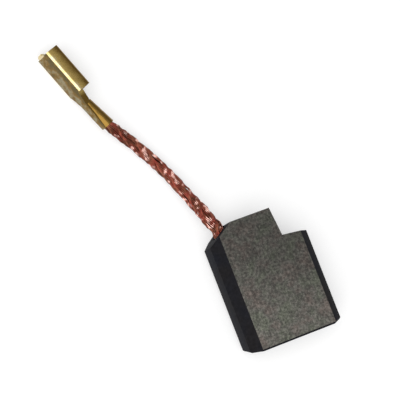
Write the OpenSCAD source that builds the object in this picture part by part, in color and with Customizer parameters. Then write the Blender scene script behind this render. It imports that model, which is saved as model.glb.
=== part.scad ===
// Carbon brush for a power tool's motor: a bevelled carbon block with a stepped
// spring seat, a copper shunt tamped into it, and a push-on receptacle crimped
// to the shunt's free end.
// The block lies on its wide back face: +Z up, +Y from the contact end towards
// the terminal, +X across the block. Lengths are in millimetres.

/* [Block] */
// Width of the block across its wide faces
block_w = 16; // [13:0.1:20]
// Length of the block from the contact end to the top of the tongue
block_l = 20.6; // [17:0.1:26]
// Thickness of the block between its wide faces
block_t = 6.3; // [5.5:0.1:8]
// Size of the bevel along each of the four long edges
long_bevel = 1.55; // [0.8:0.05:1.8]

/* [Contact end] */
// Angle at which the contact end falls away towards the back face
contact_slope = 12; // [0:1:18]
// Radius of the commutator that the contact end is ground to
commutator_r = 25; // [16:1:40]
// Size of the small bevel round the contact end
contact_edge = 0.4; // [0.2:0.05:0.6]

/* [Spring seat] */
// Width of the seat at the top of the block
seat_w = 5.1; // [4:0.1:6]
// Depth of the seat below the top of the tongue, at its inner corner
seat_l = 4.7; // [4:0.1:6]
// Angle at which the side of the tongue leans into the seat
seat_draft = 5.5; // [0:0.5:8]
// Angle at which the ledge falls away outwards
ledge_slope = 6.5; // [0:0.5:10]

/* [Shunt hole] */
// Width of the slanting shoulder that the shunt leaves from
shoulder_w = 4; // [3.4:0.1:5]
// Drop of the slanting shoulder from the tongue to the side of the block
shoulder_drop = 2.7; // [1.5:0.1:3.5]
// Distance of the hole's axis from the side of the block
hole_inset = 2.85; // [2.6:0.05:3.4]
// Diameter of the hole
hole_d = 2.6; // [2.4:0.05:3]
// Depth of the hole below the middle of its mouth
hole_l = 6.5; // [5.5:0.1:9]
// Depth of the tamped powder's top below the middle of the mouth
plug_recess = 1.2; // [1:0.1:2]
// Depth of the shunt's end below the middle of the mouth
shunt_in = 5.5; // [4:0.1:5.5]

/* [Shunt] */
// Diameter of the shunt
shunt_d = 1.7; // [1.5:0.05:1.8]

/* [Terminal] */
// Thickness of the brass sheet
sheet = 0.28; // [0.2:0.01:0.32]
// Width of the receptacle over its two curled wings
receptacle_w = 3.9; // [3.6:0.05:4.2]
// Height of the receptacle from its base to the top of its wings
receptacle_h = 2.75; // [2.5:0.05:3]
// Length of the curled wings
wing_l = 7.75; // [6:0.05:9]
// Thickness of the tab that the wings press on the base
tab_t = 0.5; // [0.4:0.05:0.8]
// Outer radius of the bend between the base and a wing
base_bend_r = 0.5; // [0.4:0.05:0.6]
// Gap between the two wings
wing_gap = 0.12; // [0.06:0.02:0.3]
// Length of the flared lip at the front of the base
lip_l = 0.65; // [0.4:0.05:1]
// Width of the flared lip
lip_w = 1.8; // [1:0.1:2.2]
// Angle at which the lip flares away from the tab
lip_flare = 38; // [10:1:45]
// Length of the neck between the wings and the crimp
neck_l = 2; // [1.5:0.1:3]
// Height of the neck's two flanges above the base's outer face
neck_h = 1; // [0.6:0.05:1.2]
// Width of the base where the neck meets the crimp
strip_w = 1.7; // [1.4:0.1:2]
// Width of the base at the crimp's mouth
strip_mouth_w = 1.1; // [0.9:0.05:1.4]
// Length of the crimp
crimp_l = 4.9; // [4:0.1:6]
// Outer diameter of the crimp at its mouth
crimp_mouth_d = 2.16; // [2.1:0.02:2.4]
// Outer diameter of the crimp at its inner end
crimp_inner_d = 1.6; // [1.5:0.02:1.9]
// Height of the crimp's axis above the base's outer face, at the mouth
crimp_mouth_h = 1.05; // [0.95:0.05:1.2]
// Height of the crimp's axis above the base's outer face, at the inner end
crimp_inner_h = 0.75; // [0.7:0.05:1.2]
// Depth to which the shunt reaches into the crimp
crimp_grip_l = 3.6; // [3:0.1:3.9]
// Width of the seam where the crimp's two wings meet
seam_w = 0.1; // [0.06:0.02:0.2]
// Radius to which the edges of the crimp's wings roll in at the seam
roll_in_r = 0.34; // [0.3:0.02:0.4]

/* [Terminal's place] */
// Direction of the terminal, turned from +Y towards -X
heading = 21; // [10:1:35]
// Roll of the terminal past lying flat on its side
roll = 13; // [0:0.5:18]

/* [Hidden] */
$fn = 96;

far = 60;          // reaches past every piece, for the cutting tools
fit_gap = 0.01;    // clearance round the tamped powder and the shunt in it
squeeze = 0.02;    // overlap of the crimp on the strands that it grips
shunt_sides = 8;

// The hole's mouth is where its axis meets the slanting shoulder.
hole_x = hole_inset - block_w / 2;
mouth_y = block_l / 2 - shoulder_drop * (1 - hole_inset / shoulder_w);
mouth = [hole_x, mouth_y, block_t / 2];

// The receptacle's wings curl on this radius and meet at its middle.
curl_r = (receptacle_w - wing_gap) / 4;
// The terminal rests on the curl of its lower wing, or on the bend below it.
base_z = max(
    (receptacle_w / 2 - curl_r) * cos(roll) + (receptacle_h - curl_r) * sin(roll) + curl_r,
    (receptacle_w / 2 - base_bend_r) * cos(roll) + base_bend_r * sin(roll) + base_bend_r
);

// The terminal's own directions: up from its base, and along the crimp, whose
// axis sinks towards the base as the crimp narrows.
up_from_base = [cos(heading) * cos(roll), sin(heading) * cos(roll), -sin(roll)];
crimp_dip = atan((crimp_mouth_h - crimp_inner_h) / crimp_l);
into_crimp = cos(crimp_dip) * [-sin(heading), cos(heading), 0]
    - sin(crimp_dip) * up_from_base;

// The shunt's free route. Each point is [across, along, height]: across and
// along are measured from the hole's mouth, and height from what it lies on.
free_route = [
    [-0.2, 0.5, 3.1],
    [-0.7, 1.9, 2.95],
    [-1.2, 3.8, 2.6],
    [-1.8, 5.9, 2.15],
    [-2.5, 8, 1.7],
    [-3.2, 10.1, 1.35],
    [-4.1, 12.2, 1.1],
    [-5.1, 14.2, 0.95],
    [-6.3, 16.3, 0.95],
    [-7.6, 18.3, 1.2],
    [-8.9, 20, 1.6],
];
// It ends at the crimp's mouth, at the height that the terminal's roll gives.
route_end = [-10.25, 21.75];
crimp_mouth = [
    mouth[0] + route_end[0],
    mouth[1] + route_end[1],
    base_z - crimp_mouth_h * sin(roll),
];
shunt_route = concat(
    [for (depth = [shunt_in, shunt_in / 2, plug_recess]) mouth - [0, depth, 0]],
    [for (p = free_route) [mouth[0] + p[0], mouth[1] + p[1], p[2]]],
    [for (depth = [0, crimp_grip_l / 2, crimp_grip_l]) crimp_mouth + depth * into_crimp]
);

// Radius of the crimp's inside at a depth from its mouth.
function crimp_bore_r(depth) =
    (crimp_mouth_d + (crimp_inner_d - crimp_mouth_d) * depth / crimp_l) / 2 - sheet;

// Radius of the shunt at each point: it is squeezed where the crimp grips it.
function shunt_r(i) =
    let (n = len(shunt_route), k = i - (n - 3))
    k < 0 ? shunt_d / 2
          : min(shunt_d / 2, crimp_bore_r(crimp_grip_l * k / 2) + squeeze);

function unit(v) = v / norm(v);

// Direction of the route at point i: the mean of the steps on each side of it.
function heading_at(route, i) =
    let (n = len(route))
    unit(
        (i < n - 1 ? unit(route[i + 1] - route[i]) : [0, 0, 0])
        + (i > 0 ? unit(route[i] - route[i - 1]) : [0, 0, 0])
    );

// One ring of the tube, square to the route.
function ring(route, i, r, sides) =
    let (
        ahead = heading_at(route, i),
        side = unit(cross(ahead, [0, 0, 1])),
        top = cross(side, ahead)
    )
    [for (k = [0:sides - 1])
        let (a = 360 * (k + 0.5) / sides)
        route[i] + r * (cos(a) * side + sin(a) * top)];

// A tube with flat ends along the shunt's route.
module shunt_tube(route, sides) {
    n = len(route);
    points = [for (i = [0:n - 1]) each ring(route, i, shunt_r(i), sides)];
    walls = [for (i = [0:n - 2], k = [0:sides - 1])
        let (a = i * sides + k, b = i * sides + (k + 1) % sides)
        each [[a, b, b + sides], [a, b + sides, a + sides]]];
    start_cap = [[for (k = [0:sides - 1]) sides - 1 - k]];
    end_cap = [[for (k = [0:sides - 1]) (n - 1) * sides + k]];
    polyhedron(points, concat(start_cap, walls, end_cap));
}

// Removes all that lies beyond a plane, given by its unit normal and offset.
module beyond_plane(normal, offset) {
    rotate([0, acos(normal[2]), atan2(normal[1], normal[0])])
        translate([-far / 2, -far / 2, offset]) cube(far);
}

// The wide face's outline: contact end at y = 0, spring seat at the top right,
// slanting shoulder at the top left.
module block_outline() {
    seat_top_x = block_w / 2 - seat_w;
    seat_inner_x = seat_top_x + seat_l * tan(seat_draft);
    ledge_outer_y = block_l - seat_l - (block_w / 2 - seat_inner_x) * tan(ledge_slope);
    polygon([
        [-block_w / 2, 0],
        [block_w / 2, 0],
        [block_w / 2, ledge_outer_y],
        [seat_inner_x, block_l - seat_l],
        [seat_top_x, block_l],
        [shoulder_w - block_w / 2, block_l],
        [-block_w / 2, block_l - shoulder_drop],
    ]);
}

// The block's section across its length, centred, with bevelled corners.
module block_section() {
    w = block_w / 2;
    t = block_t / 2;
    b = long_bevel;
    polygon([
        [w - b, -t], [w, b - t], [w, t - b], [w - b, t],
        [b - w, t], [-w, t - b], [-w, b - t], [b - w, -t],
    ]);
}

// The contact end, in the block's centred frame with the end's front edge at
// y = 0: the commutator's cylinder, and a small bevel along each of its edges.
module contact_end_cut() {
    contact_normal = [0, -cos(contact_slope), -sin(contact_slope)];
    contact_offset = -sin(contact_slope) * (block_t / 2 - contact_edge);
    chord = block_t / cos(contact_slope);
    middle = [0, (contact_edge - block_t / 2) * -tan(contact_slope), 0];
    axis_at = middle + contact_normal * sqrt(commutator_r ^ 2 - chord ^ 2 / 4);
    translate(axis_at) rotate([0, 90, 0])
        cylinder(h = far, r = commutator_r, center = true, $fn = 180);
    bevel_reach = (block_w / 2 + block_t / 2 - long_bevel) / sqrt(2);
    reaches = [block_w / 2, bevel_reach, block_t / 2, bevel_reach];
    for (i = [0:7]) {
        outward = [cos(45 * i), 0, sin(45 * i)];
        both = outward + contact_normal;
        opening = sqrt(1 - (outward * contact_normal) ^ 2);
        beyond_plane(
            unit(both),
            (reaches[i % 4] + contact_offset - contact_edge * opening) / norm(both)
        );
    }
}

module carbon_block() {
    color([0.35, 0.34, 0.31])
    difference() {
        translate([0, -block_l / 2, block_t / 2])
        difference() {
            intersection() {
                translate([0, 0, -far / 2]) linear_extrude(far) block_outline();
                rotate([90, 0, 0]) linear_extrude(2 * far, center = true) block_section();
            }
            contact_end_cut();
        }
        translate(mouth - [0, hole_l, 0]) rotate([-90, 0, 0])
            cylinder(h = hole_l + shoulder_drop + block_l, d = hole_d);
    }
}

module tamped_plug() {
    color([0.33, 0.21, 0.17])
    difference() {
        translate(mouth - [0, hole_l, 0]) rotate([-90, 0, 0])
            cylinder(h = hole_l - plug_recess, d = hole_d - 2 * fit_gap);
        translate(mouth - [0, shunt_in, 0]) rotate([-90, 0, 0])
            cylinder(h = shunt_in, d = shunt_d + 2 * fit_gap);
    }
}

module shunt() {
    color([0.62, 0.33, 0.24]) shunt_tube(shunt_route, shunt_sides);
}

// Part of a ring, from angle 'start' to angle 'end', for one bend of the sheet.
module bend(r, start, end) {
    steps = ceil((end - start) / 45);
    reach = 2 * r;
    difference() {
        intersection() {
            circle(r);
            polygon(concat([[0, 0]], [for (i = [0:steps])
                let (a = start + (end - start) * i / steps)
                reach * [cos(a), sin(a)]]));
        }
        circle(r - sheet);
    }
}

// Half of the receptacle's section: base, bend, side wall and curled wing.
module half_receptacle() {
    side_x = receptacle_w / 2;
    curl_z = receptacle_h - curl_r;
    leg_bottom = sheet + tab_t;
    square([side_x - base_bend_r, sheet]);
    translate([side_x - base_bend_r, base_bend_r]) bend(base_bend_r, -90, 0);
    translate([side_x - sheet, base_bend_r]) square([sheet, curl_z - base_bend_r]);
    translate([side_x - curl_r, curl_z]) bend(curl_r, 0, 180);
    translate([wing_gap / 2, leg_bottom]) square([sheet, curl_z - leg_bottom]);
}

// The base's plan from the crimp's mouth to the wings, inset by 'inset'.
module neck_plan(inset) {
    at_mouth = strip_mouth_w / 2 - inset;
    narrow = strip_w / 2 - inset;
    wide = receptacle_w / 2 - base_bend_r - inset;
    wing_start = crimp_l + neck_l;
    polygon([
        [-at_mouth, 0], [at_mouth, 0],
        [narrow, crimp_l], [wide, wing_start],
        [-wide, wing_start], [-narrow, crimp_l],
    ]);
}

// The lip's plan: a tongue with round corners.
module lip_plan() {
    corner_r = 0.8 * min(lip_l, lip_w / 2);
    translate([-lip_w / 2, 0]) square([lip_w, lip_l - corner_r]);
    translate([corner_r - lip_w / 2, 0]) square([lip_w - 2 * corner_r, lip_l]);
    for (side = [-1, 1])
        translate([side * (lip_w / 2 - corner_r), lip_l - corner_r]) circle(corner_r);
}

// The groove along the crimp, where the edges of its two wings roll in and meet.
module seam_groove() {
    narrowing = (crimp_mouth_d - crimp_inner_d) / 2;
    axis_at = crimp_mouth_d / 2 + roll_in_r - sheet / 2;
    translate([0, -axis_at, 0]) rotate([-atan(narrowing / crimp_l), 0, 0])
        cylinder(h = far, r = roll_in_r, center = true);
}

// One sheet of brass: curled wings, flared lip, flanged neck and closed crimp.
// Its own frame has y along it from the crimp's mouth and z up from its base.
module terminal_form() {
    wing_start = crimp_l + neck_l;
    translate([0, wing_start + wing_l, 0]) rotate([90, 0, 0])
        linear_extrude(wing_l)
            for (side = [0, 1]) mirror([side, 0]) half_receptacle();
    translate([0, wing_start + wing_l, sheet]) rotate([-lip_flare, 0, 0])
        translate([0, 0, -sheet]) linear_extrude(sheet) lip_plan();
    linear_extrude(sheet) neck_plan(0);
    difference() {
        linear_extrude(neck_h) neck_plan(0);
        translate([0, 0, sheet]) linear_extrude(neck_h) neck_plan(sheet);
        translate([-far / 2, -far, sheet]) cube([far, far + crimp_l - sheet, far]);
        translate([-far / 2, wing_start - sheet / 2, sheet]) cube(far);
    }
    difference() {
        on_crimp_axis() cylinder(h = crimp_l, d1 = crimp_mouth_d, d2 = crimp_inner_d);
        on_crimp_axis() seam_groove();
        translate([-seam_w / 2, -far / 2, crimp_mouth_h]) cube([seam_w, far, far]);
    }
}

// Puts a form that stands on the origin along the crimp's axis.
module on_crimp_axis() {
    translate([0, 0, crimp_mouth_h]) rotate([-90 - crimp_dip, 0, 0]) children();
}

module terminal() {
    color([0.72, 0.58, 0.28])
    translate(crimp_mouth - crimp_mouth_h * up_from_base)
        rotate([0, 0, heading]) rotate([0, 90 + roll, 0])
            difference() {
                terminal_form();
                on_crimp_axis()
                    cylinder(h = crimp_l, r1 = crimp_bore_r(0), r2 = crimp_bore_r(crimp_l));
            }
}

carbon_block();
tamped_plug();
shunt();
terminal();
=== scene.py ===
"""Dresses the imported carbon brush: a ground carbon block, tamped copper powder, a shunt
of twisted copper wires and a folded brass terminal, on a pale floor in soft light.

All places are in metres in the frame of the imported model. Sizes that a maker would
state in millimetres are written as a number times MM.
"""

import math
import random

import bpy
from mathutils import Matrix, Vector


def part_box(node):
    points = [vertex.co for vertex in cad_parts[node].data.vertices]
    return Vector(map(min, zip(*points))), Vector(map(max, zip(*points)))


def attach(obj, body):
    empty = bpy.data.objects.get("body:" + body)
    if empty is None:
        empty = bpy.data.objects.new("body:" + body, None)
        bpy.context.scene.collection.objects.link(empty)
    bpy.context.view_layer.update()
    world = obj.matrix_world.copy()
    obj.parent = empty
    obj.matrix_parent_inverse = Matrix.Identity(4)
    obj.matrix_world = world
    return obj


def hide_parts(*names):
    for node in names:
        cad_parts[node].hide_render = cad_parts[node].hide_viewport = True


bl_info = {
    "name": "Carbon Brush",
    "version": (1, 0, 0),
    "blender": (4, 5, 0),
    "location": "View3D > Sidebar > Carbon Brush",
    "description": "Makes the visible pieces and the stage of a carbon brush",
    "category": "Object",
}

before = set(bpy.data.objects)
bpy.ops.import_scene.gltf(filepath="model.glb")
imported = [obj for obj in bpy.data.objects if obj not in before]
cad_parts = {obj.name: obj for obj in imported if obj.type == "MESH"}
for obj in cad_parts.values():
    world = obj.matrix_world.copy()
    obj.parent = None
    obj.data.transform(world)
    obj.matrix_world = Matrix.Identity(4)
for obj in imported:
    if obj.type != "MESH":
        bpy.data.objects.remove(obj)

MM = 0.001
BODY = "root"

# The shunt's route, from its end in the tamped powder to its end in the crimp.
SHUNT_ROUTE = [
    Vector(point)
    for point in (
        (-0.00515, 0.00402, 0.00315),
        (-0.00515, 0.00677, 0.00315),
        (-0.00515, 0.00832, 0.00315),
        (-0.00535, 0.01002, 0.00310),
        (-0.00585, 0.01142, 0.00295),
        (-0.00635, 0.01332, 0.00260),
        (-0.00695, 0.01542, 0.00215),
        (-0.00765, 0.01752, 0.00170),
        (-0.00835, 0.01962, 0.00135),
        (-0.00925, 0.02172, 0.00110),
        (-0.01025, 0.02372, 0.00095),
        (-0.01145, 0.02582, 0.00095),
        (-0.01275, 0.02782, 0.00120),
        (-0.01405, 0.02952, 0.00160),
        (-0.01540, 0.03127, 0.00209),
        (-0.01614, 0.03291, 0.00212),
        (-0.01688, 0.03455, 0.00215),
    )
]

# The place in the route of the crimp's mouth, and the crimp's height above the base there.
MOUTH_OF_CRIMP = 14
CRIMP_HEIGHT = 1.05 * MM

# The terminal's own directions: up from its base, and along it towards the tab.
HEADING = math.radians(21)
ROLL = math.radians(13)
UP_FROM_BASE = Vector(
    (math.cos(HEADING) * math.cos(ROLL), math.sin(HEADING) * math.cos(ROLL), -math.sin(ROLL))
)
ALONG_TERMINAL = Vector((-math.sin(HEADING), math.cos(HEADING), 0))

# The side to which the shunt hangs slack where it leaves the block, and how far from its
# start it opens and closes again.
SLACK_SIDE = Vector((0.93, 0.31, 0.2))
OPENS = (4.5 * MM, 6.5 * MM)
CLOSES = (9 * MM, 13 * MM)

# The wires' points are this far apart. The wires narrow by the first share just outside the
# crimp, over its length, and by the second share inside it.
WIRE_STEP = 0.19 * MM
NARROWING = 0.1
NARROWING_LENGTH = 1.5 * MM
CRIMP_NARROWING = 0.27

# The angles and slopes by which the faces and edges of the pieces are told apart.
BLOCK_FLAT = math.radians(1)
BLOCK_SHARP = math.radians(11)
BRASS_FLAT = math.radians(0.5)
BRASS_SHARP = math.radians(40)
SMOOTH_SHADING = math.radians(25)
WIDE_FACE = 0.98
CONTACT_FACE = 0.9
BASE_FACE = 0.93
CONTACT_DEPTH = 2 * MM

# The lamps face this point, and the room is brightest in this direction.
MIDDLE = Vector((-0.006, 0.012, 0.003))
BRIGHT_SIDE = Vector((-0.6, -0.15, 0.8))


# ---------------------------------------------------------------- objects and meshes


def deselect_all():
    """Leaves nothing selected, in object mode."""
    if bpy.context.mode != "OBJECT":
        bpy.ops.object.mode_set(mode="OBJECT")
    bpy.ops.object.select_all(action="DESELECT")


def make_active(piece):
    """Selects one object alone and makes it the active one."""
    deselect_all()
    piece.select_set(True)
    bpy.context.view_layer.objects.active = piece


def edit_all(piece):
    """Opens a mesh in edit mode with everything selected."""
    make_active(piece)
    bpy.ops.object.mode_set(mode="EDIT")
    bpy.ops.mesh.select_mode(type="VERT")
    bpy.ops.mesh.select_all(action="SELECT")


def merged_copy(node, name, flat_angle):
    """A new piece with a CAD node's surface, its triangles merged into flat faces."""
    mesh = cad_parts[node].data.copy()
    mesh.name = name
    mesh.materials.clear()
    piece = bpy.data.objects.new(name, mesh)
    bpy.context.scene.collection.objects.link(piece)
    edit_all(piece)
    bpy.ops.mesh.customdata_custom_splitnormals_clear()
    bpy.ops.mesh.remove_doubles(threshold=0.0005 * MM)
    bpy.ops.mesh.dissolve_limited(angle_limit=flat_angle)
    bpy.ops.object.mode_set(mode="OBJECT")
    return piece


def soften_edges(piece, radius, segments, sharp_angle):
    """Rounds the edges that are sharper than an angle."""
    make_active(piece)
    bevel = piece.modifiers.new("Softened edges", "BEVEL")
    bevel.width = radius
    bevel.segments = segments
    bevel.limit_method = "ANGLE"
    bevel.angle_limit = sharp_angle
    bevel.miter_outer = "MITER_ARC"
    bpy.ops.object.modifier_apply(modifier=bevel.name)
    bpy.ops.object.shade_smooth_by_angle(angle=SMOOTH_SHADING)


def give_materials(piece, materials, choose):
    """Gives each face the material whose place in the list choose(face) returns."""
    piece.data.materials.clear()
    for material in materials:
        piece.data.materials.append(material)
    for face in piece.data.polygons:
        face.material_index = choose(face)


def hand_over(piece, node):
    """The piece rides on the body and stands for its CAD node, which is hidden."""
    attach(piece, BODY)
    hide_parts(node)


# ---------------------------------------------------------------- materials


class Recipe:
    """One material's nodes, added and linked by name."""

    def __init__(self, name):
        self.material = bpy.data.materials.new(name)
        self.material.use_nodes = True
        self.tree = self.material.node_tree
        self.shader = self.tree.nodes["Principled BSDF"]
        self.place = self.add("ShaderNodeTexCoord").outputs["Object"]

    def add(self, kind, settings=None, **sockets):
        """Adds a node. A socket is given a value, or another node's output to link."""
        node = self.tree.nodes.new(kind)
        for key, value in (settings or {}).items():
            setattr(node, key, value)
        for key, value in sockets.items():
            self.feed(node.inputs[key.replace("_", " ")], value)
        return node

    def feed(self, socket, value):
        """Links an output into a socket, or sets the socket's value."""
        if isinstance(value, bpy.types.NodeSocket):
            self.tree.links.new(value, socket)
        else:
            socket.default_value = value

    def noise(self, size, detail=2.0, roughness=0.55, place=None):
        """Soft noise with patches of about the given size."""
        return self.add(
            "ShaderNodeTexNoise",
            Vector=place or self.place,
            Scale=1 / size,
            Detail=detail,
            Roughness=roughness,
        ).outputs["Fac"]

    def stretched(self, stretch):
        """The object's place, with each axis scaled."""
        return self.add("ShaderNodeMapping", Vector=self.place, Scale=stretch).outputs["Vector"]

    def rise(self, axis, origin, low, high):
        """Rises from 0 to 1 between two distances from an origin along an axis."""
        along = self.add("ShaderNodeVectorMath", {"operation": "DOT_PRODUCT"})
        self.feed(along.inputs[0], self.place)
        self.feed(along.inputs[1], axis)
        return self.add(
            "ShaderNodeMapRange",
            {"interpolation_type": "SMOOTHSTEP"},
            Value=along.outputs["Value"],
            From_Min=axis.dot(origin) + low,
            From_Max=axis.dot(origin) + high,
        ).outputs["Result"]

    def ramp(self, value, stops):
        """Turns a value into the colours, or greys, of the stops."""
        node = self.add("ShaderNodeValToRGB", Fac=value)
        elements = node.color_ramp.elements
        while len(elements) < len(stops):
            elements.new(0.5)
        for element, (position, colour) in zip(elements, stops):
            element.position = position
            element.color = grey(colour) if isinstance(colour, float) else (*colour, 1)
        return node.outputs["Color"]

    def mix(self, share, first, second, blend="MIX"):
        """Mixes two colours. A colour is three numbers or another node's output."""
        node = self.add("ShaderNodeMix", {"data_type": "RGBA", "blend_type": blend})
        for index, value in ((0, share), (6, first), (7, second)):
            value = (*value, 1) if isinstance(value, (tuple, list)) else value
            self.feed(node.inputs[index], value)
        return node.outputs[2]

    def math(self, operation, first, second):
        """One step of arithmetic."""
        node = self.add("ShaderNodeMath", {"operation": operation})
        self.feed(node.inputs[0], first)
        self.feed(node.inputs[1], second)
        return node.outputs[0]

    def bump(self, height, depth):
        """Raises the surface by the height's value times the depth."""
        node = self.add("ShaderNodeBump", Height=height, Distance=depth)
        self.feed(self.shader.inputs["Normal"], node.outputs["Normal"])

    def finish(self, **sockets):
        """Sets the shader's own sockets and returns the material."""
        for key, value in sockets.items():
            value = (*value, 1) if isinstance(value, (tuple, list)) else value
            self.feed(self.shader.inputs[key.replace("_", " ")], value)
        return self.material


def grey(value):
    """An opaque grey."""
    return (value, value, value, 1)


def ground_carbon_and_sheen(settings):
    """The wide faces: ground flat, light grey, with mottled grains of carbon; their light grey is
    partly a painted sheen.
    """
    recipe = Recipe("Ground carbon and painted sheen")
    grains = recipe.noise(0.34 * MM, detail=3, roughness=0.7)
    shade = recipe.ramp(grains, [(0.32, 0.42), (0.5, 0.95), (0.68, 1.75)])
    patches = recipe.noise(2.6 * MM, detail=3, roughness=0.6)
    tint = recipe.ramp(
        patches,
        [(0.36, (0.94, 1.03, 0.92)), (0.5, (1.0, 1.0, 1.0)), (0.64, (1.1, 0.97, 0.97))],
    )
    marks = recipe.noise(0.2 * MM, detail=1, place=recipe.stretched((1, 0.12, 1)))
    streaks = recipe.ramp(marks, [(0.35, 0.88), (0.65, 1.12)])
    low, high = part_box("carbon_block")
    # Painted light: the wide faces are painted lighter towards the contact end and darker towards
    # the other end.
    painted_light_falloff = recipe.rise(Vector((0.3, 1, 0)), Vector(), 0.9 * low.y, 0.6 * high.y)
    painted_light_gradient = recipe.ramp(painted_light_falloff, [(0.0, 1.18), (1.0, 0.7)])
    # Painted light: this base colour is partly a painted sheen on the wide faces.
    colour = recipe.mix(1.0, tuple(settings.ground_and_sheen_colour), shade, "MULTIPLY")
    colour = recipe.mix(1.0, colour, tint, "MULTIPLY")
    colour = recipe.mix(1.0, colour, streaks, "MULTIPLY")
    colour = recipe.mix(1.0, colour, painted_light_gradient, "MULTIPLY")
    recipe.bump(grains, 0.03 * MM)
    return recipe.finish(Base_Color=colour, Roughness=0.8, Specular_IOR_Level=0.25)


def pressed_carbon_and_shade(settings):
    """The sides and bevels: left as pressed, dark and slightly smoother; their darkness is partly
    painted shade.
    """
    recipe = Recipe("Pressed carbon and painted shade")
    grains = recipe.noise(0.5 * MM, detail=3, roughness=0.6)
    shade = recipe.ramp(grains, [(0.3, 0.75), (0.7, 1.3)])
    clouds = recipe.noise(4 * MM, detail=1)
    tint = recipe.ramp(clouds, [(0.35, (0.9, 0.96, 1.12)), (0.65, (1.1, 1.02, 0.94))])
    # Painted light: this base colour is partly painted shade on the sides and bevels.
    colour = recipe.mix(1.0, tuple(settings.pressed_and_shade_colour), shade, "MULTIPLY")
    colour = recipe.mix(1.0, colour, tint, "MULTIPLY")
    recipe.bump(grains, 0.012 * MM)
    return recipe.finish(Base_Color=colour, Roughness=0.6, Specular_IOR_Level=0.04)


def ground_contact(settings):
    """The contact end: scored by its grinding, along the commutator's turning."""
    recipe = Recipe("Contact end")
    lines = recipe.noise(0.14 * MM, detail=2, place=recipe.stretched((1, 0.05, 0.05)))
    shade = recipe.ramp(lines, [(0.35, 0.7), (0.65, 1.45)])
    colour = recipe.mix(1.0, tuple(settings.contact_colour), shade, "MULTIPLY")
    recipe.bump(lines, 0.02 * MM)
    return recipe.finish(Base_Color=colour, Roughness=0.45, Specular_IOR_Level=0.5)


def copper_powder():
    """Copper powder rammed into the hole: dull, reddish and coarse."""
    recipe = Recipe("Tamped copper powder")
    grains = recipe.noise(0.16 * MM, detail=2)
    colour = recipe.ramp(
        grains,
        [
            (0.35, (0.03, 0.012, 0.009)),
            (0.55, (0.13, 0.045, 0.03)),
            (0.7, (0.3, 0.12, 0.08)),
        ],
    )
    recipe.bump(grains, 0.08 * MM)
    return recipe.finish(Base_Color=colour, Roughness=0.7, Metallic=0.4)


def copper_wire(settings):
    """Bare copper wires: bright in patches on each bundle's crown, partly rubbed and partly a
    painted highlight, dull and browned elsewhere.

    The shunt's underside is darkened as painted shade.
    """
    recipe = Recipe("Copper wire")
    crown = recipe.add("ShaderNodeAttribute", {"attribute_name": "crown"}).outputs["Fac"]
    upward = recipe.add("ShaderNodeAttribute", {"attribute_name": "upward"}).outputs["Fac"]
    # The bright patches on the crowns are partly rubbed copper and partly a painted highlight.
    patches = recipe.noise(0.8 * MM, detail=0)
    rubbed_and_highlit = recipe.math("ADD", recipe.math("MULTIPLY", crown, 0.6), patches)
    share = recipe.ramp(recipe.math("SUBTRACT", rubbed_and_highlit, 0.5), [(0.6, 0.0), (0.7, 1.0)])
    tones = recipe.noise(1.5 * MM, detail=2)
    dull = recipe.mix(
        recipe.ramp(tones, [(0.4, 0.0), (0.6, 1.0)]),
        tuple(settings.dull_colour),
        tuple(settings.brown_colour),
    )
    colour = recipe.mix(share, dull, tuple(settings.bright_colour))
    # Painted shade: the wires darken towards the shunt's underside.
    painted_underside_shade = recipe.ramp(upward, [(0.25, 0.42), (0.75, 1.0)])
    colour = recipe.mix(1.0, colour, painted_underside_shade, "MULTIPLY")
    roughness = recipe.ramp(share, [(0.0, 0.36), (1.0, 0.14)])
    return recipe.finish(Base_Color=colour, Metallic=1.0, Roughness=roughness)


def bright_brass(settings):
    """The terminal's wings and crimp: a pale painted highlight at the bends, and brown towards
    the curl and over the crimp, partly aged and partly painted shade.
    """
    recipe = Recipe("Rolled brass")
    mouth = SHUNT_ROUTE[MOUTH_OF_CRIMP]
    base = mouth - CRIMP_HEIGHT * UP_FROM_BASE
    # Painted light: near the base the bends are painted pale as a highlight; towards the curl and
    # over the crimp the brass is painted brown, partly aged and partly painted shade.
    height = recipe.rise(UP_FROM_BASE, base, 0, 3 * MM)
    crimped = recipe.rise(-ALONG_TERMINAL, mouth, -7.2 * MM, -5.4 * MM)
    clouds = recipe.ramp(recipe.noise(1.3 * MM, detail=3), [(0.35, -0.12), (0.7, 0.2)])
    painted_light_and_age = recipe.math("ADD", clouds, recipe.math("MAXIMUM", height, crimped))
    colour = recipe.ramp(
        painted_light_and_age,
        [
            (0.03, tuple(settings.painted_highlight_colour)),
            (0.2, tuple(settings.brass_colour)),
            (0.85, tuple(settings.aged_and_shade_colour)),
        ],
    )
    scratches = recipe.noise(0.12 * MM, detail=2, place=recipe.stretched((1, 1, 0.15)))
    roughness = recipe.ramp(scratches, [(0.3, 0.24), (0.7, 0.38)])
    recipe.bump(scratches, 0.002 * MM)
    return recipe.finish(Base_Color=colour, Metallic=1.0, Roughness=roughness)


def tarnished_and_shaded_brass(settings):
    """The base's outer face: greyed, browner in blotches, and darker towards its upper edge
    beside the bend as painted shade.
    """
    recipe = Recipe("Tarnished brass and painted shade")
    upward = UP_FROM_BASE.cross(ALONG_TERMINAL)
    # Painted shade: the base is painted darker towards its upper edge, beside the bend.
    painted_shade_by_bend = recipe.rise(upward, SHUNT_ROUTE[MOUTH_OF_CRIMP], 0.1 * MM, 1.1 * MM)
    patches = recipe.noise(1.2 * MM, detail=3)
    clouds = recipe.math("SUBTRACT", patches, recipe.math("MULTIPLY", painted_shade_by_bend, 0.2))
    grains = recipe.noise(0.25 * MM, detail=2)
    film = recipe.ramp(
        clouds,
        [
            (0.3, tuple(settings.blotch_colour)),
            (0.45, tuple(settings.aged_and_shade_colour)),
            (0.6, tuple(settings.film_colour)),
        ],
    )
    shade = recipe.ramp(grains, [(0.3, 0.85), (0.7, 1.15)])
    colour = recipe.mix(1.0, film, shade, "MULTIPLY")
    recipe.bump(grains, 0.006 * MM)
    return recipe.finish(Base_Color=colour, Metallic=0.9, Roughness=0.5)


# ---------------------------------------------------------------- the shunt's geometry


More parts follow.
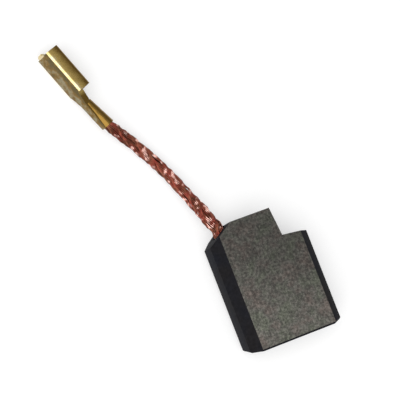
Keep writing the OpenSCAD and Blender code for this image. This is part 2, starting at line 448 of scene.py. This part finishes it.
def smooth_line(points, step):
    """Points one step apart along the smooth curve through the given points."""
    ends = [2 * points[0] - points[1], *points, 2 * points[-1] - points[-2]]
    fine = []
    per_span = 16
    for before, here, there, after in zip(ends, ends[1:], ends[2:], ends[3:]):
        for i in range(per_span):
            t = i / per_span
            fine.append(
                0.5
                * (
                    2 * here
                    + (there - before) * t
                    + (2 * before - 5 * here + 4 * there - after) * t**2
                    + (3 * here - before - 3 * there + after) * t**3
                )
            )
    fine.append(points[-1].copy())
    even = [fine[0]]
    travelled = 0.0
    for a, b in zip(fine, fine[1:]):
        gap = (b - a).length
        while travelled + gap >= step:
            a = a.lerp(b, (step - travelled) / gap)
            even.append(a)
            gap = (b - a).length
            travelled = 0.0
        travelled += gap
    if (even[-1] - fine[-1]).length > 0.3 * step:
        even.append(fine[-1])
    return even


def line_length(points):
    """Length of a line of points."""
    return sum((b - a).length for a, b in zip(points, points[1:]))


def smooth_step(value, low, high):
    """Rises smoothly from 0 at low to 1 at high."""
    t = min(1.0, max(0.0, (value - low) / (high - low)))
    return t * t * (3 - 2 * t)


def cross_frames(points):
    """For each point, two directions square to the line: sideways, and upwards."""
    frames = []
    for i in range(len(points)):
        ahead = (points[min(i + 1, len(points) - 1)] - points[max(i - 1, 0)]).normalized()
        side = ahead.cross(Vector((0, 0, 1))).normalized()
        frames.append((side, side.cross(ahead)))
    return frames


def bundle_outline(settings, twist):
    """Where a wire at an angle in its bundle lies: its turn about the shunt, and its radius.

    The bundles press one another into wedges, so the outer half of each outline follows
    the shunt's own circle, and dips by the groove's depth where two bundles meet.
    """
    share_of_sector = 0.97
    inner_depth = 0.55
    crown_shape = 0.8
    rim = (settings.diameter - settings.wire_diameter) / 2
    turn = share_of_sector * math.pi / settings.bundles * math.sin(twist)
    rise = math.cos(twist)
    if rise < 0:
        return turn, (rim - settings.groove) * (1 + inner_depth * rise)
    return turn, rim - settings.groove * (1 - rise**crown_shape)


def wire_lines(settings, line, step):
    """The lines of the core and the wires: points, radius, crown values, upward values.

    A crown value is 1 where a wire is on the crown of its bundle and falls to -1 inside.
    An upward value is 1 on the shunt's top and falls to 0 underneath.
    """
    core_share = 0.92
    wander = 0.25
    sway_length = 1.9 * MM
    ripple_share = 0.4
    ripple_length = 1.1 * MM
    rng = random.Random(7)
    frames = cross_frames(line)
    mouth_at = line_length(smooth_line(SHUNT_ROUTE[: MOUTH_OF_CRIMP + 1], step))
    end_at = step * (len(line) - 1)
    core_r = settings.diameter / 2 - settings.groove - settings.wire_diameter
    loose = [
        smooth_step(step * i, *OPENS) - smooth_step(step * i, *CLOSES)
        for i in range(len(line))
    ]
    centres = [centre + share * settings.sag * SLACK_SIDE for centre, share in zip(line, loose)]
    hidden = [0.0] * len(line)
    lines = [(centres, core_share * core_r, hidden, hidden)]
    for bundle in range(settings.bundles):
        sway = rng.uniform(0, math.tau)
        for k in range(settings.wires):
            if k % settings.strand == 0:
                lift = [rng.uniform(0, math.tau) for _ in range(3)]
                length = rng.uniform(1.5 * MM, 2.4 * MM)
            phase = rng.uniform(0, math.tau)
            points, crowns, upward = [], [], []
            for i, centre in enumerate(centres):
                s = i * step
                squeeze = 1 - NARROWING * smooth_step(s, mouth_at - NARROWING_LENGTH, mouth_at)
                squeeze -= CRIMP_NARROWING * smooth_step(s, mouth_at, end_at)
                squeeze += settings.loosening * loose[i]
                twist = math.tau * (k / settings.wires + s / settings.wire_pitch)
                twist += wander * math.sin(s / length + lift[2])
                turn, radius = bundle_outline(settings, twist)
                turn += math.tau * (bundle / settings.bundles - s / settings.rope_pitch)
                turn += wander * math.sin(s / sway_length + sway)
                radius += settings.wave * math.sin(math.tau * s / length + lift[0])
                ripple = math.sin(math.tau * s / ripple_length + phase)
                radius += ripple_share * settings.wave * ripple
                side, top = frames[i]
                out = math.cos(turn) * side + math.sin(turn) * top
                points.append(centre + squeeze * radius * out)
                crowns.append(math.cos(twist))
                upward.append((1 + out.z) / 2)
            lines.append((points, settings.wire_diameter / 2, crowns, upward))
    return lines


# ---------------------------------------------------------------- settings


class BlockSettings(bpy.types.PropertyGroup):
    """Finish of the carbon block."""

    edge_radius: bpy.props.FloatProperty(
        name="Edge radius",
        description="Radius of the softened edges of the block",
        default=0.2 * MM,
        unit="LENGTH",
    )
    # Partly a painted sheen on the wide faces.
    ground_and_sheen_colour: bpy.props.FloatVectorProperty(
        name="Ground carbon and painted sheen",
        description="Colour of the two ground wide faces",
        default=(0.094, 0.09, 0.079),
        subtype="COLOR",
    )
    # Partly painted shade on the sides and bevels.
    pressed_and_shade_colour: bpy.props.FloatVectorProperty(
        name="Pressed carbon and painted shade",
        description="Colour of the sides and bevels, which are left as pressed",
        default=(0.0105, 0.0105, 0.0125),
        subtype="COLOR",
    )
    contact_colour: bpy.props.FloatVectorProperty(
        name="Contact end",
        description="Colour of the end that runs on the commutator",
        default=(0.045, 0.044, 0.042),
        subtype="COLOR",
    )


class ShuntSettings(bpy.types.PropertyGroup):
    """Lay and colours of the shunt."""

    diameter: bpy.props.FloatProperty(
        name="Diameter",
        description="Diameter of the circle round the twisted bundles",
        default=1.9 * MM,
        unit="LENGTH",
    )
    bundles: bpy.props.IntProperty(
        name="Bundles",
        description="Number of bundles that are twisted together",
        default=3,
    )
    wires: bpy.props.IntProperty(
        name="Wires",
        description="Number of wires round the outside of each bundle",
        default=24,
    )
    strand: bpy.props.IntProperty(
        name="Wires in a strand",
        description="Number of neighbouring wires that wave together",
        default=3,
    )
    wire_diameter: bpy.props.FloatProperty(
        name="Wire diameter",
        description="Diameter of one wire",
        default=0.15 * MM,
        unit="LENGTH",
    )
    groove: bpy.props.FloatProperty(
        name="Groove",
        description="Depth of the grooves between the bundles",
        default=0.13 * MM,
        unit="LENGTH",
    )
    loosening: bpy.props.FloatProperty(
        name="Loosening",
        description="Share by which the bundles spread where the shunt leaves the block",
        default=0.14,
    )
    sag: bpy.props.FloatProperty(
        name="Sag",
        description="How far the loosened bundles lean to the slack side",
        default=0.13 * MM,
        unit="LENGTH",
    )
    wave: bpy.props.FloatProperty(
        name="Wave",
        description="Height of the waves in the wires",
        default=0.06 * MM,
        unit="LENGTH",
    )
    rope_pitch: bpy.props.FloatProperty(
        name="Lay of the bundles",
        description="Length in which a bundle goes once round the shunt",
        default=11.0 * MM,
        unit="LENGTH",
    )
    wire_pitch: bpy.props.FloatProperty(
        name="Lay of the wires",
        description="Length in which a wire goes once round its bundle",
        default=12.0 * MM,
        unit="LENGTH",
    )
    bright_colour: bpy.props.FloatVectorProperty(
        name="Bright copper",
        description="Colour of the wires on the crowns",
        default=(0.9, 0.55, 0.475),
        subtype="COLOR",
    )
    dull_colour: bpy.props.FloatVectorProperty(
        name="Dull copper",
        description="Colour of the wires that nothing has rubbed",
        default=(0.3, 0.068, 0.047),
        subtype="COLOR",
    )
    brown_colour: bpy.props.FloatVectorProperty(
        name="Brown copper",
        description="Colour of the wires that have browned",
        default=(0.24, 0.086, 0.052),
        subtype="COLOR",
    )


class TerminalSettings(bpy.types.PropertyGroup):
    """Finish of the brass terminal."""

    edge_radius: bpy.props.FloatProperty(
        name="Edge radius",
        description="Radius of the softened edges of the sheet",
        default=0.08 * MM,
        unit="LENGTH",
    )
    # A painted highlight at the bends.
    painted_highlight_colour: bpy.props.FloatVectorProperty(
        name="Painted highlight on brass",
        description="Colour of the bends between the base and the wings",
        default=(0.72, 0.62, 0.38),
        subtype="COLOR",
    )
    brass_colour: bpy.props.FloatVectorProperty(
        name="Brass",
        description="Colour of clean brass",
        default=(0.66, 0.47, 0.15),
        subtype="COLOR",
    )
    # Aged brass, also painted as shade towards the curl and over the crimp.
    aged_and_shade_colour: bpy.props.FloatVectorProperty(
        name="Aged brass and painted shade",
        description="Colour of brass that has been handled",
        default=(0.22, 0.13, 0.03),
        subtype="COLOR",
    )
    blotch_colour: bpy.props.FloatVectorProperty(
        name="Blotches",
        description="Colour of the brown blotches on the base",
        default=(0.13, 0.095, 0.035),
        subtype="COLOR",
    )
    film_colour: bpy.props.FloatVectorProperty(
        name="Grey film",
        description="Colour of the greyed parts of the base",
        default=(0.29, 0.25, 0.15),
        subtype="COLOR",
    )


class StageSettings(bpy.types.PropertyGroup):
    """Floor, lamps and camera."""

    floor_colour: bpy.props.FloatVectorProperty(
        name="Floor",
        description="Colour of the plain floor",
        default=(0.6, 0.6, 0.6),
        subtype="COLOR",
    )
    floor_glow: bpy.props.FloatProperty(
        name="Floor's glow",
        description="Light that the floor adds where it is seen, so that it looks white",
        default=0.45,
    )
    dim_light: bpy.props.FloatProperty(
        name="Room light, dim side",
        description="Strength of the room's light on its dim side",
        default=0.3,
    )
    bright_light: bpy.props.FloatProperty(
        name="Room light, bright side",
        description="Strength of the room's light on its bright side",
        default=0.85,
    )
    main_power: bpy.props.FloatProperty(
        name="Main lamp",
        description="Power of the large soft lamp near the camera, in watts",
        default=2.0,
    )
    strip_power: bpy.props.FloatProperty(
        name="Strip lamp",
        description="Power of the low lamp that gives the metal its highlights, in watts",
        default=0.45,
    )
    camera_place: bpy.props.FloatVectorProperty(
        name="Camera's place",
        description="Where the camera stands, above the brush and to its left",
        default=(-0.103268, -0.007605, 0.285179),
        precision=6,
        subtype="TRANSLATION",
    )
    camera_turn: bpy.props.FloatVectorProperty(
        name="Camera's turn",
        description="Angles by which the camera is turned from looking straight down",
        default=(math.radians(11.1236), math.radians(-16.0997), math.radians(-22.0595)),
        precision=4,
        subtype="EULER",
    )
    lens: bpy.props.FloatProperty(
        name="Lens",
        description="Focal length of the camera, in millimetres",
        default=172.13,
    )


# ---------------------------------------------------------------- operators


class MakeBlock(bpy.types.Operator):
    """Makes the carbon block with softened edges, ground faces lightened by painted sheen and
    pressed sides darkened by painted shade
    """

    bl_idname = "carbon_brush.make_block"
    bl_label = "Make Carbon Block"

    def execute(self, context):
        settings = context.scene.carbon_block
        block = merged_copy("carbon_block", "brush_block", BLOCK_FLAT)
        soften_edges(block, settings.edge_radius, 3, BLOCK_SHARP)
        finishes = [ground_carbon_and_sheen(settings), pressed_carbon_and_shade(settings), ground_contact(settings)]
        low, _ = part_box("carbon_block")

        # The wide faces take the lighter colour, partly painted sheen; the sides and bevels take
        # the dark one, partly painted shade.
        def finish_of(face):
            if abs(face.normal.z) > WIDE_FACE:
                return 0
            if face.normal.y < -CONTACT_FACE and face.center.y < low.y + CONTACT_DEPTH:
                return 2
            return 1

        give_materials(block, finishes, finish_of)
        hand_over(block, "carbon_block")
        return {"FINISHED"}


class MakePlug(bpy.types.Operator):
    """Gives the tamped copper powder round the shunt's end its material"""

    bl_idname = "carbon_brush.make_plug"
    bl_label = "Make Tamped Plug"

    def execute(self, context):
        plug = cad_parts["tamped_plug"]
        plug.data.materials.clear()
        plug.data.materials.append(copper_powder())
        return {"FINISHED"}


class MakeShunt(bpy.types.Operator):
    """Makes the shunt from twisted bundles of fine copper wires"""

    bl_idname = "carbon_brush.make_shunt"
    bl_label = "Make Shunt"

    def execute(self, context):
        settings = context.scene.carbon_shunt
        line = smooth_line(SHUNT_ROUTE, WIRE_STEP)
        lines = wire_lines(settings, line, WIRE_STEP)
        curve = bpy.data.curves.new("shunt_wires", "CURVE")
        curve.dimensions = "3D"
        curve.bevel_depth = 1.0
        curve.bevel_resolution = 1
        for points, radius, _, _ in lines:
            spline = curve.splines.new("POLY")
            spline.points.add(len(points) - 1)
            for target, place in zip(spline.points, points):
                target.co = (*place, 1)
                target.radius = radius
        shunt = bpy.data.objects.new("shunt_wires", curve)
        context.scene.collection.objects.link(shunt)
        make_active(shunt)
        bpy.ops.object.convert(target="MESH")
        bpy.ops.object.shade_smooth()
        mesh = shunt.data
        crowns = mesh.attributes.new("crown", "FLOAT", "POINT")
        upwards = mesh.attributes.new("upward", "FLOAT", "POINT")
        per_ring = len(mesh.vertices) // (len(lines) * len(line))
        for i in range(len(mesh.vertices)):
            wire, ring = divmod(i // per_ring, len(line))
            _, _, crown, upward = lines[wire]
            crowns.data[i].value = crown[ring]
            upwards.data[i].value = upward[ring]
        mesh.materials.append(copper_wire(settings))
        hand_over(shunt, "shunt")
        return {"FINISHED"}


class MakeTerminal(bpy.types.Operator):
    """Makes the folded brass terminal with softened edges"""

    bl_idname = "carbon_brush.make_terminal"
    bl_label = "Make Terminal"

    def execute(self, context):
        settings = context.scene.carbon_terminal
        terminal = merged_copy("terminal", "brass_terminal", BRASS_FLAT)
        soften_edges(terminal, settings.edge_radius, 2, BRASS_SHARP)
        finishes = [bright_brass(settings), tarnished_and_shaded_brass(settings)]

        def finish_of(face):
            return 1 if face.normal.dot(UP_FROM_BASE) < -BASE_FACE else 0

        give_materials(terminal, finishes, finish_of)
        hand_over(terminal, "terminal")
        return {"FINISHED"}


class MakeStage(bpy.types.Operator):
    """Makes the floor, the lamps, the room light and the camera"""

    bl_idname = "carbon_brush.make_stage"
    bl_label = "Make Stage"

    def execute(self, context):
        settings = context.scene.carbon_stage
        self.make_floor(settings)
        self.make_room_light(context.scene, settings)
        self.make_lamp(
            "Main lamp",
            direction=Vector((-0.42, -0.12, 0.9)),
            distance=0.6,
            size=(0.6, 0.6),
            power=settings.main_power,
        )
        self.make_lamp(
            "Strip lamp",
            direction=Vector((-0.87, -0.33, 0.3)),
            distance=0.5,
            size=(0.34, 0.16),
            power=settings.strip_power,
        )
        self.make_camera(context.scene, settings)
        context.scene.view_settings.view_transform = "Standard"
        return {"FINISHED"}

    def make_floor(self, settings):
        """A wide plain floor that the brush lies on."""
        deselect_all()
        bpy.ops.mesh.primitive_circle_add(vertices=96, radius=1.6, fill_type="NGON")
        floor = bpy.context.active_object
        floor.name = "floor"
        recipe = Recipe("Plain floor")
        rays = recipe.add("ShaderNodeLightPath").outputs
        seen = recipe.math("MAXIMUM", rays["Is Camera Ray"], rays["Is Glossy Ray"])
        seen = recipe.math("MAXIMUM", seen, rays["Is Transmission Ray"])
        floor.data.materials.append(
            recipe.finish(
                Base_Color=tuple(settings.floor_colour),
                Roughness=0.9,
                Emission_Color=(1, 1, 1),
                Emission_Strength=recipe.math("MULTIPLY", seen, settings.floor_glow),
            )
        )

    def make_room_light(self, scene, settings):
        """Soft light from all round, brighter from one side."""
        world = bpy.data.worlds.new("Room")
        world.use_nodes = True
        tree = world.node_tree
        background = tree.nodes["Background"]
        direction = tree.nodes.new("ShaderNodeTexCoord").outputs["Generated"]
        towards = tree.nodes.new("ShaderNodeVectorMath")
        towards.operation = "DOT_PRODUCT"
        towards.inputs[1].default_value = BRIGHT_SIDE.normalized()
        level = tree.nodes.new("ShaderNodeMapRange")
        level.inputs["From Min"].default_value = -0.2
        level.inputs["To Min"].default_value = settings.dim_light
        level.inputs["To Max"].default_value = settings.bright_light
        tree.links.new(direction, towards.inputs[0])
        tree.links.new(towards.outputs["Value"], level.inputs["Value"])
        tree.links.new(level.outputs["Result"], background.inputs["Strength"])
        background.inputs["Color"].default_value = grey(1.0)
        scene.world = world

    def make_lamp(self, name, direction, distance, size, power):
        """A rectangular soft lamp that faces the brush from a direction."""
        deselect_all()
        bpy.ops.object.light_add(type="AREA", location=MIDDLE + distance * direction.normalized())
        lamp = bpy.context.active_object
        lamp.name = name
        lamp.rotation_euler = direction.to_track_quat("Z", "Y").to_euler()
        lamp.data.shape = "RECTANGLE"
        lamp.data.size, lamp.data.size_y = size
        lamp.data.energy = power

    def make_camera(self, scene, settings):
        """The camera, which looks down on the brush."""
        deselect_all()
        bpy.ops.object.camera_add()
        camera = bpy.context.active_object
        camera.location = settings.camera_place
        camera.rotation_euler = settings.camera_turn
        camera.data.sensor_width = 36
        camera.data.lens = settings.lens
        camera.data.clip_start = 0.01
        camera.data.clip_end = 10
        scene.camera = camera


class BrushPanel(bpy.types.Panel):
    """Lists the steps that make the brush"""

    bl_idname = "VIEW3D_PT_carbon_brush"
    bl_label = "Carbon Brush"
    bl_space_type = "VIEW_3D"
    bl_region_type = "UI"
    bl_category = "Carbon Brush"

    def draw(self, context):
        for operator in (MakeTerminal, MakeShunt, MakeBlock, MakePlug, MakeStage):
            self.layout.operator(operator.bl_idname)


GROUPS = {
    "carbon_block": BlockSettings,
    "carbon_shunt": ShuntSettings,
    "carbon_terminal": TerminalSettings,
    "carbon_stage": StageSettings,
}
CLASSES = [*GROUPS.values(), MakeStage, MakeTerminal, MakeShunt, MakeBlock, MakePlug, BrushPanel]


def register():
    for cls in CLASSES:
        bpy.utils.register_class(cls)
    for name, group in GROUPS.items():
        setattr(bpy.types.Scene, name, bpy.props.PointerProperty(type=group))


def unregister():
    for name in GROUPS:
        delattr(bpy.types.Scene, name)
    for cls in reversed(CLASSES):
        bpy.utils.unregister_class(cls)


def main():
    register()
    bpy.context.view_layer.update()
    bpy.ops.carbon_brush.make_stage()
    bpy.ops.carbon_brush.make_terminal()
    bpy.ops.carbon_brush.make_shunt()
    bpy.ops.carbon_brush.make_block()
    bpy.ops.carbon_brush.make_plug()


if __name__ == "__main__":
    main()
